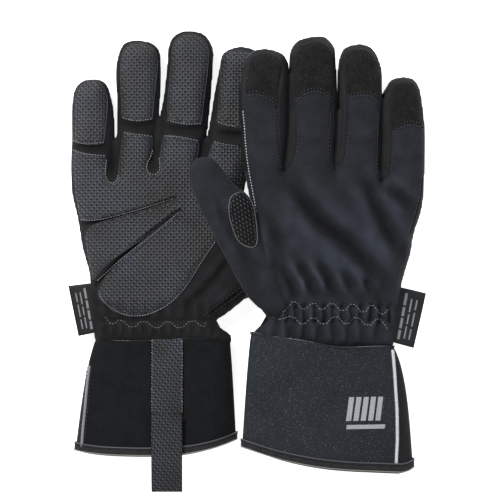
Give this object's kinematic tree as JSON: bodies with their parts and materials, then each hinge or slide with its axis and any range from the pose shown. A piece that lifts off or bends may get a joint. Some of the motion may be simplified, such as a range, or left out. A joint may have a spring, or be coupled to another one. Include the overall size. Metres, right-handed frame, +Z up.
{
  "type": "work glove pair",
  "caption": "Pair of padded gauntlet work gloves, one palm up and one back up leaning over it, with grip patches, gathered wrists, flared cuffs and a pull strap.",
  "frame": {"origin": "bottom centre of the pair's bounding box, on the resting plane", "axes": "+Z up, +Y towards the fingertips, +X to the side the upper glove lies on"},
  "size_m": [0.2316, 0.2978, 0.0508],
  "materials": {
    "softshell": "matte",
    "grip": "satin",
    "gusset_cloth": "satin",
    "fleece": "matte",
    "batting": "matte",
    "elastic": "matte",
    "neoprene": "matte",
    "reflective": "satin",
    "binding": "matte",
    "suede": "matte",
    "label_cloth": "satin"
  },
  "bodies": {
    "lower_hand": {"lower_glove_back_panel": "softshell", "lower_glove_palm_panel": "softshell", "lower_glove_palm_grip": "grip", "lower_glove_fourchettes": "gusset_cloth", "lower_glove_lining": "fleece", "lower_glove_insulation": "batting", "lower_glove_wrist_elastic": "elastic"},
    "lower_index": {"lower_glove_index_shell": "softshell", "lower_glove_index_grip": "grip", "lower_glove_index_cap": "suede"},
    "lower_middle": {"lower_glove_middle_shell": "softshell", "lower_glove_middle_grip": "grip", "lower_glove_middle_cap": "suede"},
    "lower_ring": {"lower_glove_ring_shell": "softshell", "lower_glove_ring_grip": "grip", "lower_glove_ring_cap": "suede"},
    "lower_little": {"lower_glove_little_shell": "softshell", "lower_glove_little_grip": "grip", "lower_glove_little_cap": "suede"},
    "lower_thumb": {"lower_glove_thumb_shell": "softshell", "lower_glove_thumb_grip": "grip"},
    "lower_cuff": {"lower_glove_cuff_back_panel": "neoprene", "lower_glove_cuff_palm_panel": "neoprene", "lower_glove_cuff_gusset": "gusset_cloth", "lower_glove_cuff_piping": "reflective", "lower_glove_cuff_hem": "binding", "lower_glove_cuff_lining": "fleece", "lower_glove_strap_anchor": "grip"},
    "lower_strap": {"lower_glove_strap": "grip"},
    "lower_label": {"lower_glove_label": "label_cloth"},
    "upper_hand": {"upper_glove_back_panel": "softshell", "upper_glove_palm_panel": "softshell", "upper_glove_palm_grip": "grip", "upper_glove_fourchettes": "gusset_cloth", "upper_glove_lining": "fleece", "upper_glove_insulation": "batting", "upper_glove_wrist_elastic": "elastic"},
    "upper_index": {"upper_glove_index_shell": "softshell", "upper_glove_index_grip": "grip", "upper_glove_index_cap": "suede"},
    "upper_middle": {"upper_glove_middle_shell": "softshell", "upper_glove_middle_grip": "grip", "upper_glove_middle_cap": "suede"},
    "upper_ring": {"upper_glove_ring_shell": "softshell", "upper_glove_ring_grip": "grip", "upper_glove_ring_cap": "suede"},
    "upper_little": {"upper_glove_little_shell": "softshell", "upper_glove_little_grip": "grip", "upper_glove_little_cap": "suede"},
    "upper_thumb": {"upper_glove_thumb_shell": "softshell", "upper_glove_thumb_grip": "grip"},
    "upper_cuff": {"upper_glove_cuff_back_panel": "neoprene", "upper_glove_cuff_palm_panel": "neoprene", "upper_glove_cuff_gusset": "gusset_cloth", "upper_glove_cuff_piping": "reflective", "upper_glove_cuff_hem": "binding", "upper_glove_cuff_lining": "fleece", "upper_glove_strap_anchor": "grip"},
    "upper_strap": {"upper_glove_strap": "grip"},
    "upper_label": {"upper_glove_label": "label_cloth"}
  },
  "joints": [
    {"name": "lower_index_curl", "type": "hinge", "parent": "lower_hand", "child": "lower_index", "pos_m": [-0.00805, 0.08262, 0.02125], "axis": [0.9961, -0.0884, 0], "range_deg": [0, 90], "stiffness_Nm_per_rad": 0.03},
    {"name": "lower_middle_curl", "type": "hinge", "parent": "lower_hand", "child": "lower_middle", "pos_m": [-0.0403, 0.08652, 0.02125], "axis": [0.9974, -0.072, 0], "range_deg": [0, 90], "stiffness_Nm_per_rad": 0.03},
    {"name": "lower_ring_curl", "type": "hinge", "parent": "lower_hand", "child": "lower_ring", "pos_m": [-0.07105, 0.08847, 0.02125], "axis": [0.9998, -0.0184, 0], "range_deg": [0, 90], "stiffness_Nm_per_rad": 0.03},
    {"name": "lower_little_curl", "type": "hinge", "parent": "lower_hand", "child": "lower_little", "pos_m": [-0.09992, 0.07352, 0.01975], "axis": [1, 0.0093, 0], "range_deg": [0, 90], "stiffness_Nm_per_rad": 0.03},
    {"name": "upper_index_curl", "type": "hinge", "parent": "upper_hand", "child": "upper_index", "pos_m": [0.0103, 0.08392, 0.02224], "axis": [-0.978, 0.018, 0.2079], "range_deg": [0, 90], "stiffness_Nm_per_rad": 0.03},
    {"name": "upper_middle_curl", "type": "hinge", "parent": "upper_hand", "child": "upper_middle", "pos_m": [0.03969, 0.08782, 0.016], "axis": [-0.9779, 0.0232, 0.2079], "range_deg": [0, 90], "stiffness_Nm_per_rad": 0.03},
    {"name": "upper_ring_curl", "type": "hinge", "parent": "upper_hand", "child": "upper_ring", "pos_m": [0.06941, 0.08717, 0.00968], "axis": [-0.9771, 0.0472, 0.2077], "range_deg": [0, 90], "stiffness_Nm_per_rad": 0.03},
    {"name": "upper_little_curl", "type": "hinge", "parent": "upper_hand", "child": "upper_little", "pos_m": [0.09931, 0.07352, 0.00332], "axis": [-0.978, 0.0157, 0.2079], "range_deg": [0, 90], "stiffness_Nm_per_rad": 0.03},
    {"name": "lower_thumb_swing", "type": "hinge", "parent": "lower_hand", "child": "lower_thumb", "pos_m": [-0.01018, -0.00773, 0.008], "axis": [0, 0, 1], "range_deg": [-12, 10], "stiffness_Nm_per_rad": 0.03},
    {"name": "upper_thumb_swing", "type": "hinge", "parent": "upper_hand", "child": "upper_thumb", "pos_m": [0.00586, -0.00643, 0.03428], "axis": [0.2079, 0, 0.9781], "range_deg": [-10, 12], "stiffness_Nm_per_rad": 0.03},
    {"name": "lower_wrist_bend", "type": "hinge", "parent": "lower_hand", "child": "lower_cuff", "pos_m": [-0.05438, -0.04705, 0.0241], "axis": [-1, 0, 0], "range_deg": [0, 45], "stiffness_Nm_per_rad": 0.1},
    {"name": "upper_wrist_bend", "type": "hinge", "parent": "upper_hand", "child": "upper_cuff", "pos_m": [0.05156, -0.04575, 0.03837], "axis": [-0.9781, 0, 0.2079], "range_deg": [0, 45], "stiffness_Nm_per_rad": 0.1},
    {"name": "lower_strap_flap", "type": "hinge", "parent": "lower_cuff", "child": "lower_strap", "pos_m": [-0.05165, -0.09899, 0.02815], "axis": [-1, 0, 0], "range_deg": [0, 140]},
    {"name": "upper_strap_flap", "type": "hinge", "parent": "upper_cuff", "child": "upper_strap", "pos_m": [0.04648, -0.10276, 0.01123], "axis": [-0.9781, 0, 0.2079], "range_deg": [0, 100]},
    {"name": "lower_label_fold", "type": "hinge", "parent": "lower_hand", "child": "lower_label", "pos_m": [-0.1018, -0.0296, 0.011], "axis": [-0.1914, 0.9815, 0], "range_deg": [-30, 75]},
    {"name": "upper_label_fold", "type": "hinge", "parent": "upper_hand", "child": "upper_label", "pos_m": [0.09799, -0.03454, 0.01469], "axis": [-0.1568, -0.9871, 0.0333], "range_deg": [-30, 75]},
    {"name": "upper_glove_lift", "type": "slide", "parent": "lower_hand", "child": "upper_hand", "axis": [0, 0, 1], "range_m": [0, 0.2]}
  ],
  "couplings": [
    {"joint": "lower_index_curl", "follows": "upper_glove_lift", "rad_per_m": 7.85},
    {"joint": "upper_index_curl", "follows": "upper_glove_lift", "rad_per_m": 7.85}
  ]
}
